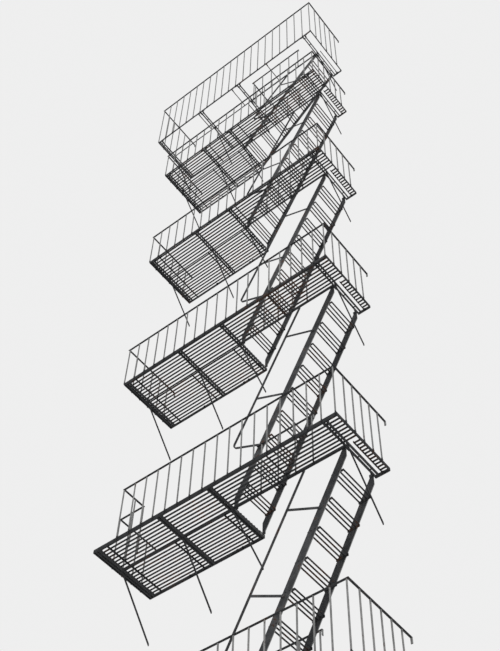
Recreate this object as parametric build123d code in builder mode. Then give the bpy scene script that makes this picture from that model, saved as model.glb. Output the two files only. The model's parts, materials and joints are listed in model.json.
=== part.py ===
# Fire escape stair: six open platforms hung on a wall, with five steep flights between them.
# x runs along the wall with +x to the right end, y = 0 is the wall face and -y is the street, z is up.
# All sizes are in millimetres. The origin is on the back of the lowest right wall bar, in line with its bracket.
from build123d import *
from math import atan2, ceil, degrees, hypot
import os

os.makedirs("parts", exist_ok=True)

# Heights; the storeys differ a little
lowest_rise = 2785.0
middle_rise = 2858.0
fourth_rise = 2763.0
top_rise = 1702.0
rail_height = 749.0
top_rail_height = 1408.0
inner_rail_height = 749.0

# Platform outline
platform_depth = 914.0
platform_length = 3092.0
long_platform_length = 3160.0
top_platform_length = 3442.0
long_platforms = 3
right_overhang = 152.0
left_overhang = 52.0
edge_bar_depth = 46.0
edge_bar_thick = 10.0
bar_drop = 35.0

# Stair opening
stair_run = 1440.0
top_stair_run = 1560.0
stair_edge = 520.0
well_bar_thick = 10.0
deck_bar_depth = 25.0

# Wall brackets, each a pair of bars with a strut held on the inner face of the right one
third_bracket = 2105.0
near_third_bracket = 2060.0
top_third_bracket = 2280.0
bracket_bar_depth = 40.0
bracket_bar_thick = 10.0
bracket_gap = 26.0
strut_thick = 12.0
strut_depth = 17.0
strut_let_in = 20.0
strut_drop = 670.0
short_strut_drop = 450.0

# Bars on the wall
wall_bar_thick = 10.0
wall_bolt_radius = 9.0

# Deck slats and the bars under them
slat_width = 30.0
slat_thick = 6.0
wall_side_slats = 11
walk_side_slats = 8
tie_thick = 8.0
tie_depth = 25.0
tie_step = 120.0
short_tie_step = 85.0
end_tie_place = 172.0
first_walk_tie = 720.0
odd_walk_tie = 1345.0
added_walk_ties = (1390.0, 2000.0)
top_walk_ties = (820.0, 1590.0, 2355.0)
tie_clearance = 3.0
strip_width = 80.0

# Railings
bar_size = 13.0
rail_width = 38.0
rail_thick = 8.0
front_bar_step = 162.0
end_bays = 6
hook_place = 375.0
hook_drop = 60.0
hook_corner = 12.0
wall_lug = 60.0
guard_lap = 40.0
guard_bar_step = 187.0
guard_bar_inset = 25.0

# Railing that steps inwards at the left end of one platform
stepped_floor = 1
stepped_bays = 2
stepped_slat = 6
stepped_bar_slat = 3

# Flights
stringer_width = 90.0
stringer_thick = 10.0
wall_gap = 35.0
first_tread_drop = 283.0
tread_rise = 290.0
top_first_tread_drop = 180.0
top_tread_rise = 235.0
tread_depth = 145.0
tread_bar_width = 22.0
tread_bar_thick = 8.0
tread_bars = 4
tread_side_depth = 30.0
tread_side_thick = 6.0

# Stair handrails
handrail_offset = 450.0
handrail_width = 22.0
handrail_thick = 12.0
handrail_bend = 60.0
handrail_strut_width = 25.0
handrail_strut_thick = 8.0
handrail_lug = 100.0
upper_strut_drop = 660.0
middle_strut_drop = 1500.0
return_height = 731.0
top_middle_share = 0.31
top_return_share = 0.68

# Worked out
levels = [0.0]
for storey in (lowest_rise, middle_rise, middle_rise, fourth_rise, top_rise):
    levels.append(levels[-1] + storey)
top = len(levels) - 1
top_flight = top - 1
bracket_half = bracket_gap / 2 + bracket_bar_thick
edge_inner = platform_depth - edge_bar_thick
z_low = -bar_drop
z_middle = z_low + edge_bar_depth / 2
slat_bed = z_low + bracket_bar_depth
well_outer = stair_edge + well_bar_thick / 2
well_inner = stair_edge - well_bar_thick / 2
rail_y = platform_depth + bar_size / 2


def save(piece, name, z):
    # Write a piece that is modelled at its own deck's level, raised to its storey
    placed = piece.part.moved(Location((0, 0, z)))
    placed.label = name
    export_step(placed, f"parts/{name}.step")


def flight_rise(flight):
    return levels[flight + 1] - levels[flight]


def flight_run(flight):
    return top_stair_run if flight == top_flight else stair_run


def left_end(floor):
    if floor == top:
        return right_overhang - top_platform_length
    length = long_platform_length if floor < long_platforms else platform_length
    return right_overhang - length


def bracket_places(floor):
    if floor == top:
        return [0.0, -stair_run, -top_third_bracket, left_end(floor) + left_overhang]
    third = near_third_bracket if floor == long_platforms else third_bracket
    return [0.0, -flight_run(floor), -third, left_end(floor) + left_overhang]


def guard_stop(floor):
    # Left end of the inner guard: at the flight that comes down, or beside the second bracket on top
    if floor == top:
        return bracket_places(floor)[1] + bracket_half + bar_size / 2
    height = z_low + inner_rail_height
    return -flight_run(floor) * (1 - height / flight_rise(floor))


def guard_places(floor):
    # Uprights of the inner guard, from its hook to its left end
    first = -hook_place - guard_bar_inset
    last = guard_stop(floor) + guard_bar_inset
    bays = int((first - last) / guard_bar_step)
    return [first + n * (last - first) / bays for n in range(bays + 1)]


def front_bar_places(floor):
    # Uprights of the front railing, from the left end to the right end
    first = left_end(floor) + bar_size / 2
    length = right_overhang - bar_size / 2 - first
    bays = round(length / front_bar_step)
    return [first + n * length / bays for n in range(bays + 1)]


def walk_ties(floor):
    # Cross bars under the walkway; where there are slats, the first one carries them
    if floor == top:
        return [-place for place in top_walk_ties]
    ties = [-first_walk_tie, left_end(floor) + end_tie_place]
    if floor == long_platforms:
        ties.append(-odd_walk_tie)
    if floor == top_flight:
        ties += [-place for place in added_walk_ties]
    return ties


def wall_ties(floor):
    # Cross bars between the stair's line and the wall; where there are slats, the first one carries them
    places = bracket_places(floor)
    if floor == top:
        return [places[1] - short_tie_step]
    step = short_tie_step if floor == long_platforms else tie_step
    return [places[2] - step, places[1] - step, left_end(floor) + end_tie_place]


def strip_tie():
    # Cross bar under the short slats at the right end
    return right_overhang - edge_bar_thick - strip_width + tie_thick / 2


def add_bar(x_low, x_high, y_low, y_high, z_low, z_high):
    # Straight square-cut bar between two opposite corners
    with BuildSketch(Plane.XY.offset(z_low)) as outline:
        with Locations(((x_low + x_high) / 2, (y_low + y_high) / 2)):
            Rectangle(x_high - x_low, y_high - y_low)
    extrude(outline.sketch, amount=z_high - z_low)


def add_tie(x, y_out, y_in):
    # Cross bar on edge, its top under the slats
    add_bar(x - tie_thick / 2, x + tie_thick / 2, -y_out, -y_in, slat_bed - tie_depth, slat_bed)


def add_uprights(points, z_foot, z_head):
    with BuildSketch(Plane.XY.offset(z_foot)) as feet:
        with Locations(*points):
            Rectangle(bar_size, bar_size)
    extrude(feet.sketch, amount=z_head - z_foot)


def build_frame(floor):
    left = left_end(floor)
    places = bracket_places(floor)
    z_high = z_low + edge_bar_depth
    with BuildPart() as frame:
        # Front edge bar
        add_bar(left, right_overhang, -platform_depth, -edge_inner, z_low, z_high)
        # Deep bar beside the stair opening
        add_bar(places[1] + bracket_half, -bracket_half, -well_outer, -well_inner, z_low, z_high)
        # Shallow bars that carry the slats on from there to the left bracket
        for start, stop in zip(places[1:], places[2:]):
            shallow = slat_bed - deck_bar_depth
            add_bar(stop + bracket_half, start - bracket_half, -well_outer, -well_inner, shallow, slat_bed)
        # Bars on the wall, left and right of the stair opening
        add_bar(left + edge_bar_thick, places[1] + bracket_half, -wall_bar_thick, 0, z_low, z_high)
        add_bar(-bracket_half, right_overhang - edge_bar_thick, -wall_bar_thick, 0, z_low, z_high)
        if floor != top:
            # Cross bars that lie loose under the slats
            for x in walk_ties(floor)[1:]:
                add_tie(x, edge_inner - tie_clearance, well_outer + tie_clearance)
            for x in wall_ties(floor)[1:]:
                add_tie(x, well_inner - tie_clearance, wall_bar_thick + tie_clearance)
        # Bolt hole through the left wall bar, midway between the second and third brackets
        with BuildSketch(Plane.XZ):
            with Locations(((places[1] + places[2]) / 2, z_middle)):
                Circle(wall_bolt_radius)
        extrude(amount=wall_bar_thick, mode=Mode.SUBTRACT)
    return frame


def build_cross_bars(floor):
    # The top platform has lost its slats and shows its cross bars
    with BuildPart() as cross_bars:
        for x in walk_ties(floor):
            add_tie(x, edge_inner, well_outer)
        for x in wall_ties(floor) + [strip_tie()]:
            add_tie(x, well_inner, wall_bar_thick)
    return cross_bars


def build_brackets(floor):
    with BuildPart() as brackets:
        for number, x in enumerate(bracket_places(floor)):
            # Pair of flat bars on edge, from the wall bar to the front edge
            for side in (-1, 1):
                near = x + side * bracket_gap / 2
                far = x + side * bracket_half
                z_high = z_low + bracket_bar_depth
                add_bar(min(near, far), max(near, far), -edge_inner, -wall_bar_thick, z_low, z_high)
            # Strut from the right bar down to the wall, cut level at its head and flush with the wall
            drop = short_strut_drop if number == 1 else strut_drop
            fall = drop + z_low
            lean = stair_edge / fall
            slope_length = hypot(stair_edge, fall)
            across = strut_depth / 2 * slope_length / fall
            upright = strut_depth / 2 * slope_length / stair_edge
            z_head = z_low + strut_let_in
            head = -stair_edge - strut_let_in * lean
            with BuildSketch(Plane.YZ.offset(x + bracket_gap / 2 - strut_thick)) as outline:
                with BuildLine():
                    Polyline((head - across, z_head), (head + across, z_head),
                             (0, upright - drop), (0, -upright - drop), close=True)
                make_face()
            extrude(outline.sketch, amount=strut_thick)
    return brackets


def slat_lines(outer, inner, count):
    # Centre lines of slats that share the width between two bars with equal gaps
    gap = (outer - inner - count * slat_width) / (count + 1)
    return [-outer + gap + slat_width / 2 + n * (gap + slat_width) for n in range(count)]


def add_slats(lines, x_low, x_high):
    with BuildSketch(Plane.YZ.offset(x_low)) as ends:
        with Locations(*[(y, slat_bed + slat_thick / 2) for y in lines]):
            Rectangle(slat_width, slat_thick)
    extrude(ends.sketch, amount=x_high - x_low)


def build_deck(floor):
    places = bracket_places(floor)
    left = left_end(floor) + edge_bar_thick
    right = right_overhang - edge_bar_thick
    wall_lines = slat_lines(well_inner, wall_bar_thick, wall_side_slats)
    with BuildPart() as deck:
        # Walkway, from end to end
        add_slats(slat_lines(edge_inner, well_outer, walk_side_slats), left, right)
        add_tie(walk_ties(floor)[0], edge_inner, well_outer)
        # Landing at the foot of the flight
        add_slats(wall_lines, left, places[1] + bracket_half)
        add_tie(wall_ties(floor)[0], well_inner, wall_bar_thick)
        # Short strip at the right end
        add_slats(wall_lines, right - strip_width, right)
        add_tie(strip_tie(), well_inner, wall_bar_thick)
    return deck


def add_front_railing(floor, height):
    # Uprights on the outer face of the edge bar, flat rail on top
    places = front_bar_places(floor)
    x_low = places[0] - bar_size - rail_width / 2
    x_high = places[-1] + bar_size + rail_width / 2
    if floor == stepped_floor:
        places = places[stepped_bays:]
        x_low = places[0] - rail_width / 2
    z_rail = z_low + height - rail_thick
    add_uprights([(x, -rail_y) for x in places], z_low + rail_thick, z_rail)
    add_bar(x_low, x_high, -rail_y - rail_width / 2, -rail_y + rail_width / 2, z_rail, z_rail + rail_thick)


def add_inner_guard(floor):
    # Guard along the stair opening, its rail turned down into a hook at the right
    guard = -well_outer - bar_size / 2
    z_under = z_low + inner_rail_height - rail_thick
    z_rail = z_under + rail_thick / 2
    add_uprights([(x, guard) for x in guard_places(floor)], z_low + rail_thick, z_under)
    lap = rail_width / 2 if floor == top else guard_lap
    with BuildSketch(Plane.XZ.offset(well_inner)) as outline:
        with BuildLine():
            Polyline((guard_stop(floor) - lap, z_rail), (-hook_place - hook_corner, z_rail),
                     (-hook_place, z_rail - hook_corner), (-hook_place, z_rail - hook_drop))
        trace(line_width=rail_thick)
    extrude(outline.sketch, amount=rail_width)
    if floor == top:
        # From its left end a rail runs back to the wall, with a lug turned down there
        x = guard_stop(floor)
        x_low = x - rail_width / 2
        x_high = x + rail_width / 2
        step = platform_depth / end_bays
        count = int(well_inner / step)
        add_bar(x_low, x_high, -well_inner, 0, z_under, z_under + rail_thick)
        add_bar(x_low, x_high, -rail_thick, 0, z_under - wall_lug, z_under)
        add_uprights([(x, -n * step) for n in range(1, count + 1)], z_low + rail_thick, z_under)


def build_long_rails(floor):
    with BuildPart() as rails:
        add_front_railing(floor, top_rail_height if floor == top else rail_height)
        add_inner_guard(floor)
    return rails


def stepped_line():
    # The slat on which the stepped railing stands, beside the end of the front railing's walkway
    return slat_lines(edge_inner, well_outer, walk_side_slats)[stepped_slat]


def build_ends(floor):
    height = top_rail_height if floor == top else rail_height
    z_rail = z_low + height - rail_thick
    step = platform_depth / end_bays
    left = left_end(floor)
    edges = ((left, left + edge_bar_thick, left - bar_size / 2),
             (right_overhang - edge_bar_thick, right_overhang, right_overhang + bar_size / 2))
    with BuildPart() as ends:
        for x_low, x_high, x_rail in edges:
            stop = -rail_y + rail_width / 2
            if floor == stepped_floor and x_low == left:
                stop = stepped_line() - rail_width / 2
            # Edge bar, uprights on its outer face, flat rail with a lug turned down at the wall
            add_bar(x_low, x_high, -edge_inner, 0, z_low, z_low + edge_bar_depth)
            points = [(x_rail, -n * step) for n in range(1, end_bays) if -n * step > stop]
            add_uprights(points, z_low + rail_thick, z_rail)
            add_bar(x_rail - rail_width / 2, x_rail + rail_width / 2, stop, 0, z_rail, z_rail + rail_thick)
            add_bar(x_rail - rail_width / 2, x_rail + rail_width / 2, -rail_thick, 0, z_rail - wall_lug, z_rail)
    return ends


def build_corner_guard(floor):
    # Railing that leaves the front one, runs inwards and then along a slat to the end railing
    corner = front_bar_places(floor)[stepped_bays]
    middle = front_bar_places(floor)[stepped_bays // 2]
    line = stepped_line()
    between = slat_lines(edge_inner, well_outer, walk_side_slats)[stepped_bar_slat]
    half = rail_width / 2
    z_rail = z_low + rail_height - rail_thick
    z_high = z_rail + rail_thick
    with BuildPart() as guard:
        add_bar(corner - half, corner + half, -rail_y + half, line + half, z_rail, z_high)
        left = left_end(floor) - bar_size / 2 + half
        add_bar(left, corner - half, line - half, line + half, z_rail, z_high)
        points = [(corner, line), (middle, line), (corner, between)]
        add_uprights(points, slat_bed + slat_thick, z_rail)
    return guard


def flight_place(flight, drop, out):
    # Point beside a flight: "drop" below its upper deck on the stringer, then "out" square to the slope
    rise = flight_rise(flight)
    run = flight_run(flight)
    length = hypot(run, rise)
    x = -run * drop / rise - out * rise / length
    z = rise - drop + out * run / length
    return (x, z)


def build_stringers(flight):
    rise = flight_rise(flight)
    run = flight_run(flight)
    angle = degrees(atan2(rise, run))
    clear_run = run - 2 * bracket_half
    with BuildPart() as stringers:
        for y in (wall_gap, well_inner - stringer_thick):
            with BuildSketch(Plane.XZ.offset(y)):
                with Locations((-run / 2, rise / 2)):
                    Rectangle(2 * rise, stringer_width, rotation=angle)
                with Locations((-run / 2, rise / 2 + z_middle)):
                    Rectangle(clear_run, rise + edge_bar_depth, mode=Mode.INTERSECT)
            extrude(amount=stringer_thick)
    return stringers


def tread_places(flight):
    # Middle of each tread: x on the stringer's centre line, z of the tread's top
    rise = flight_rise(flight)
    first = top_first_tread_drop if flight == top_flight else first_tread_drop
    step = top_tread_rise if flight == top_flight else tread_rise
    count = ceil((rise - first) / step)
    drops = [first + n * step for n in range(count)]
    return [(-flight_run(flight) * drop / rise, rise - drop) for drop in drops]


def build_treads(flight):
    side_in = wall_gap + stringer_thick
    side_out = well_inner - stringer_thick
    pitch = (tread_depth - tread_bar_width) / (tread_bars - 1)
    with BuildPart() as treads:
        for x, z in tread_places(flight):
            # Level bars across the stair
            with BuildSketch(Plane.XZ.offset(side_in)):
                with Locations((x, z - tread_bar_thick / 2)):
                    with GridLocations(pitch, 0, tread_bars, 1):
                        Rectangle(tread_bar_width, tread_bar_thick)
            extrude(amount=side_out - side_in)
            # Side pieces that hold them on the stringers
            for y in (side_in, side_out - tread_side_thick):
                with BuildSketch(Plane.XZ.offset(y)):
                    with Locations((x, z - tread_side_depth / 2)):
                        Rectangle(tread_depth, tread_side_depth)
                extrude(amount=tread_side_thick)
    return treads


def strut_drops(flight):
    # Where the handrail's struts meet the stringer; the last one is its bent return
    rise = flight_rise(flight)
    if flight == top_flight:
        return [rise * top_middle_share, rise * top_return_share]
    return [upper_strut_drop, middle_strut_drop, rise - return_height]


def build_handrail(flight):
    rise = flight_rise(flight)
    run = flight_run(flight)
    drops = strut_drops(flight)
    start_drop = handrail_offset * run / hypot(run, rise)
    turn = degrees(atan2(run, -rise))
    corners = [flight_place(flight, start_drop, handrail_offset)]
    corners.append(flight_place(flight, drops[-1], handrail_offset))
    corners.append(flight_place(flight, drops[-1], handrail_lug))
    rail_face = well_inner + (handrail_strut_thick - handrail_width) / 2
    with BuildPart() as handrail:
        # Flat rail that turns back to the stringer at its foot
        with BuildSketch(Plane.XZ.offset(rail_face)):
            with BuildLine() as route:
                Polyline(*corners)
                fillet(route.vertices().sort_by(Axis.X)[:1], handrail_bend)
            trace(line_width=handrail_thick)
        extrude(amount=handrail_width)
        # Flat struts and the lug of the return, lapped on the stringer
        for drop in drops:
            reach = handrail_offset if drop != drops[-1] else handrail_lug + handrail_thick
            with BuildSketch(Plane.XZ.offset(well_inner)):
                with Locations(flight_place(flight, drop, reach / 2)):
                    Rectangle(reach, handrail_strut_width, rotation=turn)
            extrude(amount=handrail_strut_thick)
        # Level cut under the deep bar of the upper deck
        split(bisect_by=Plane.XY.offset(rise + z_low), keep=Keep.BOTTOM)
    return handrail


def write_platforms():
    for floor, z in enumerate(levels):
        # The long platforms are of one kind, built once and written at each of their levels
        new_kind = floor == 0 or floor >= long_platforms
        if new_kind:
            frame = build_frame(floor)
            brackets = build_brackets(floor)
            deck = build_deck(floor) if floor != top else build_cross_bars(floor)
        save(frame, f"frame_{floor}", z)
        save(brackets, f"brackets_{floor}", z)
        # The inner guards follow the flights, and one front railing is stepped
        save(build_long_rails(floor), f"long_rails_{floor}", z)
        save(build_ends(floor), f"ends_{floor}", z)
        if floor == stepped_floor:
            save(build_corner_guard(floor), f"corner_guard_{floor}", z)
        # Slats, or bare cross bars on top
        save(deck, f"cross_bars_{floor}" if floor == top else f"deck_{floor}", z)


def write_flights():
    for flight in range(top):
        save(build_stringers(flight), f"stringers_{flight}", levels[flight])
        save(build_treads(flight), f"treads_{flight}", levels[flight])
        save(build_handrail(flight), f"handrail_{flight}", levels[flight])


write_platforms()
write_flights()
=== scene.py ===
"""Fire escape stair: finishes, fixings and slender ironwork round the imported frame."""
import json
import logging
import math
from dataclasses import dataclass, field
from enum import Enum
from typing import Any, Callable, Iterable, Optional, Union

import bpy
from mathutils import Matrix, Vector


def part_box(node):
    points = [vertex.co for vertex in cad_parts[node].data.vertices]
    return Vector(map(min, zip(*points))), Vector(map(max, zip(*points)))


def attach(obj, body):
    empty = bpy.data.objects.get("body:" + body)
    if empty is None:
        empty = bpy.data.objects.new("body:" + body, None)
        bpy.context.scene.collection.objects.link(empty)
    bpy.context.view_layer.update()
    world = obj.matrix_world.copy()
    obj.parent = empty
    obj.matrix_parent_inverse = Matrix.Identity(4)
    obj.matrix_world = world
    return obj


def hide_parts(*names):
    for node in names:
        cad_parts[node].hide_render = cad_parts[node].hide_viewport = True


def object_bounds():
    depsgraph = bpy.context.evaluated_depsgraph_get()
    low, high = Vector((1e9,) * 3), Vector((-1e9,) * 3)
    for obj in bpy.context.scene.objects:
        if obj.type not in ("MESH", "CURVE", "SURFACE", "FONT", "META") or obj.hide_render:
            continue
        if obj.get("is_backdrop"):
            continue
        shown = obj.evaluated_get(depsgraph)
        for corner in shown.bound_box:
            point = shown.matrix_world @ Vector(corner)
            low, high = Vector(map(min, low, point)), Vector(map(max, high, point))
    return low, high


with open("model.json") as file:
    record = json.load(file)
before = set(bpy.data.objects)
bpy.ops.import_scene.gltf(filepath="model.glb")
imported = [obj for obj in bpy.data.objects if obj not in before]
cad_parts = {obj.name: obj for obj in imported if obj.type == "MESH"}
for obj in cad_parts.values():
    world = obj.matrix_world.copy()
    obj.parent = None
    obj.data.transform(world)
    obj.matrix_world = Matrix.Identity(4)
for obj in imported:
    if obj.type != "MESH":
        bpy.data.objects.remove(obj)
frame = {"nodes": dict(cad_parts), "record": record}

logging.basicConfig(level=logging.INFO, format="%(message)s")
log = logging.getLogger("fire_escape")

Triple = tuple[float, float, float]
Span = tuple[float, float]
Place = Matrix

PICTURE_SIZE = (500, 651)
SENSOR_MM = 36.0
FLOORS = 6

# Corners nearer to each other than this belong to one bar, one upright or one tread, in metres
BAR_APART = 0.03
UPRIGHT_APART = 0.02
TREAD_APART = 0.05

# A corner this near to a plane lies on it, in metres
TOUCHING = 0.001

# A face whose normal has this much of an axis in it counts as lying square to it
SQUARE = 0.9

# How strongly the finer layers of every noise count
NOISE_ROUGHNESS = 0.6

UP = Vector((0, 0, 1))
OUT = Vector((0, -1, 0))
IN = Vector((0, 1, 0))
RIGHT = Vector((1, 0, 0))
LEFT = Vector((-1, 0, 0))


# ---- Shader maths ----


class Number:
    """A shader number that adds its own Math nodes when it is used in an expression."""

    def __init__(self, shop: "NodeShop", socket: bpy.types.NodeSocket) -> None:
        """Wrap an output socket.

        Args:
            shop: The node maker that the socket belongs to.
            socket: The output that carries the number.
        """
        self.shop = shop
        self.socket = socket

    def _math(self, operation: str, first: Any, second: Any) -> "Number":
        """Add one Math node and return its result."""
        node = self.shop.node("ShaderNodeMath", {0: first, 1: second}, operation=operation)
        return Number(self.shop, node.outputs[0])

    def __add__(self, other: Any) -> "Number":
        """Sum."""
        return self._math("ADD", self, other)

    __radd__ = __add__

    def __sub__(self, other: Any) -> "Number":
        """Difference."""
        return self._math("SUBTRACT", self, other)

    def __rsub__(self, other: Any) -> "Number":
        """Difference, the other way round."""
        return self._math("SUBTRACT", other, self)

    def __mul__(self, other: Any) -> "Number":
        """Product."""
        return self._math("MULTIPLY", self, other)

    __rmul__ = __mul__

    def over(self, low: float, high: float) -> "Number":
        """Rise smoothly from 0 at low to 1 at high.

        Args:
            low: Value below which the result is 0.
            high: Value above which the result is 1.

        Returns:
            The eased number.
        """
        values = {"Value": self, "From Min": low, "From Max": high, "To Min": 0.0, "To Max": 1.0}
        node = self.shop.node("ShaderNodeMapRange", values, interpolation_type="SMOOTHSTEP")
        return Number(self.shop, node.outputs[0])

    def from_least(self, least: float) -> "Number":
        """Squeeze 0 to 1 into least to 1."""
        return self * (1.0 - least) + least


def weighed(parts: Iterable[Number], shares: Iterable[float]) -> Number:
    """Add numbers up by their shares.

    Args:
        parts: The numbers.
        shares: How much of each goes in.

    Returns:
        The sum.
    """
    first, *others = [part * share for part, share in zip(parts, shares)]
    return sum(others, first)


class NodeShop:
    """Makes the nodes of one material, or of the surroundings."""

    def __init__(self, owner: Union[bpy.types.Material, bpy.types.World]) -> None:
        """Start with no nodes.

        Args:
            owner: What the nodes are for.
        """
        self.owner = owner
        owner.use_nodes = True
        self.tree = owner.node_tree
        self.tree.nodes.clear()

    def node(self, kind: str, values: Optional[dict[Union[int, str], Any]] = None,
             **settings: Any) -> bpy.types.Node:
        """Add a node.

        Args:
            kind: Blender's node type.
            values: Numbers, colours, sockets or Numbers for its inputs, by name or index.
            settings: Attributes to set first.

        Returns:
            The new node.
        """
        made = self.tree.nodes.new(kind)
        for key, value in settings.items():
            setattr(made, key, value)
        for key, value in (values or {}).items():
            target = made.inputs[key]
            if isinstance(value, Number):
                value = value.socket
            if isinstance(value, bpy.types.NodeSocket):
                self.tree.links.new(value, target)
            elif target.type == "RGBA":
                target.default_value = (*value, 1.0)
            else:
                target.default_value = value
        return made

    def coordinates(self, stretch: Triple = (1.0, 1.0, 1.0)) -> bpy.types.NodeSocket:
        """Give the object's own coordinates, stretched along each axis.

        Args:
            stretch: How many times each axis is stretched.

        Returns:
            The output that carries them.
        """
        source = self.node("ShaderNodeTexCoord")
        mapping = self.node("ShaderNodeMapping", {"Vector": source.outputs["Object"], "Scale": stretch})
        return mapping.outputs["Vector"]

    def noise(self, where: bpy.types.NodeSocket, scale: float, detail: float) -> Number:
        """Add a noise of the given scale, as a number from 0 to 1."""
        values = {"Vector": where, "Scale": scale, "Detail": detail, "Roughness": NOISE_ROUGHNESS}
        return Number(self, self.node("ShaderNodeTexNoise", values).outputs["Fac"])

    def _along(self, vector: bpy.types.NodeSocket, axis: int) -> Number:
        """Take one part of a vector."""
        return Number(self, self.node("ShaderNodeSeparateXYZ", {0: vector}).outputs[axis])

    def place(self, axis: int) -> Number:
        """Give the surface point's place along an axis, in metres."""
        return self._along(self.coordinates(), axis)

    def facing(self, axis: int) -> Number:
        """Give how far the surface faces along a world axis, from -1 to 1."""
        return self._along(self.node("ShaderNodeNewGeometry").outputs["True Normal"], axis)

    def blend(self, low: Any, high: Any, share: Number) -> bpy.types.NodeSocket:
        """Mix two colours by a number."""
        return self.node("ShaderNodeMix", {0: share, 6: low, 7: high}, data_type="RGBA").outputs[2]


# ---- Finishes ----


class Weather(Enum):
    """How far the weather has got into a piece's paint: the noise value above which it has flaked."""

    SHELTERED = 0.62
    OPEN = 0.56
    TRODDEN = 0.52


@dataclass(frozen=True)
class IronFinish:
    """Old black paint on wrought iron, chalked, flaked and rusting through in places."""

    name: str
    weather: Weather
    paint: Triple = (0.013, 0.0135, 0.0145)
    chalked: Triple = (0.036, 0.0365, 0.038)
    rust: Triple = (0.080, 0.036, 0.019)
    dark_rust: Triple = (0.030, 0.016, 0.010)
    dust: Triple = (0.110, 0.104, 0.095)
    # Painted highlight: a light grey put on upright faces, standing for the sky light that they catch
    painted_highlight: Triple = (0.300, 0.298, 0.290)
    # Painted side light: a lighter colour on faces that face +X, standing for light from the right
    painted_side_light: Optional[Triple] = None
    dust_share: float = 0.35

    # Heights between which upright faces get a painted highlight, if any, and the height that the change
    # takes
    highlight_from: Optional[float] = None
    highlight_to: float = 0.0
    highlight_fade: float = 0.004

    # Each noise's cycles a metre and its finer layers, and the stretch that makes runs of one of them
    cloud: Span = (1.7, 2.0)
    patch: Span = (14.0, 4.0)
    grit: Span = (160.0, 2.0)
    streak: Span = (1.0, 3.0)
    run_stretch: Triple = (38.0, 38.0, 3.0)

    # Shares of the noises in each effect
    chalk_shares: Span = (0.55, 0.45)
    flake_shares: Triple = (0.5, 0.2, 0.3)
    run_shares: Span = (0.7, 0.3)
    relief_shares: Triple = (0.25, 0.25, -0.5)
    roughness_shares: Span = (0.15, 0.25)

    # How much rust runs colour, how much of the painted highlights rust takes away, and the least of the
    # painted highlight and of the painted side light, where the paint isn't chalked
    run_share: float = 0.6
    rust_takes: float = 0.7
    highlight_least: float = 0.55
    side_light_least: float = 0.6

    # Values over which each effect comes in
    chalk_span: Span = (0.42, 0.68)
    run_span: Span = (0.58, 0.72)
    grain_span: Span = (0.35, 0.7)
    dust_span: Span = (0.3, 0.7)
    level_span: Span = (0.55, 0.95)
    upright_span: Span = (0.5, 0.9)
    side_span: Span = (0.60, 0.85)
    flake_edge: float = 0.05

    smoothest: float = 0.55
    specular: float = 0.3
    relief: float = 0.0012
    relief_strength: float = 0.35

    def material(self) -> bpy.types.Material:
        """Build the finish's material.

        Returns:
            A material that reads only the piece's own coordinates and its surface direction.
        """
        shop = NodeShop(bpy.data.materials.new(self.name))
        where = shop.coordinates()
        cloud = shop.noise(where, *self.cloud)
        patch = shop.noise(where, *self.patch)
        grit = shop.noise(where, *self.grit)
        streak = shop.noise(shop.coordinates(self.run_stretch), *self.streak)

        chalk = weighed((patch, cloud), self.chalk_shares).over(*self.chalk_span)
        flaking = weighed((patch, grit, cloud), self.flake_shares)
        rusted = flaking.over(self.weather.value, self.weather.value + self.flake_edge)
        run = weighed((streak, cloud), self.run_shares).over(*self.run_span)
        sound = 1.0 - rusted * self.rust_takes

        colour = shop.blend(self.paint, self.chalked, chalk)
        colour = shop.blend(colour, self.dark_rust, run * self.run_share)
        rust_colour = shop.blend(self.rust, self.dark_rust, grit.over(*self.grain_span))
        colour = shop.blend(colour, rust_colour, rusted)
        dusty = shop.facing(2).over(*self.level_span) * patch.over(*self.dust_span)
        colour = shop.blend(colour, self.dust, dusty * self.dust_share)
        # Painted highlight: upright faces between two heights turn light grey, standing for sky light on
        # them
        if self.highlight_from is not None:
            highlight_share = self._highlight_faces(shop) * sound * chalk.from_least(self.highlight_least)
            colour = shop.blend(colour, self.painted_highlight, highlight_share)
        # Painted side light: faces that face +X turn lighter, standing for light falling from the right
        if self.painted_side_light is not None:
            lit = shop.facing(0).over(*self.side_span) * sound * chalk.from_least(self.side_light_least)
            colour = shop.blend(colour, self.painted_side_light, lit)

        bump = shop.node("ShaderNodeBump", {
            "Strength": self.relief_strength,
            "Distance": self.relief,
            "Height": weighed((grit, patch, rusted), self.relief_shares),
        })
        surface = shop.node("ShaderNodeBsdfPrincipled", {
            "Base Color": colour,
            "Roughness": weighed((chalk, rusted), self.roughness_shares) + self.smoothest,
            "Normal": bump.outputs[0],
            "Specular IOR Level": self.specular,
        })
        shop.node("ShaderNodeOutputMaterial", {"Surface": surface.outputs[0]})
        return shop.owner

    def _highlight_faces(self, shop: NodeShop) -> Number:
        """Mark the upright faces between two heights, where a highlight is painted for the light that they
        catch.

        Args:
            shop: The material's node maker.

        Returns:
            1 on those faces and 0 elsewhere.
        """
        height, tilt = shop.place(2), shop.facing(2)
        upright = (1.0 - tilt * tilt).over(*self.upright_span)
        above = height.over(self.highlight_from, self.highlight_from + self.highlight_fade)
        below = 1.0 - height.over(self.highlight_to - self.highlight_fade, self.highlight_to)
        return upright * above * below


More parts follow.
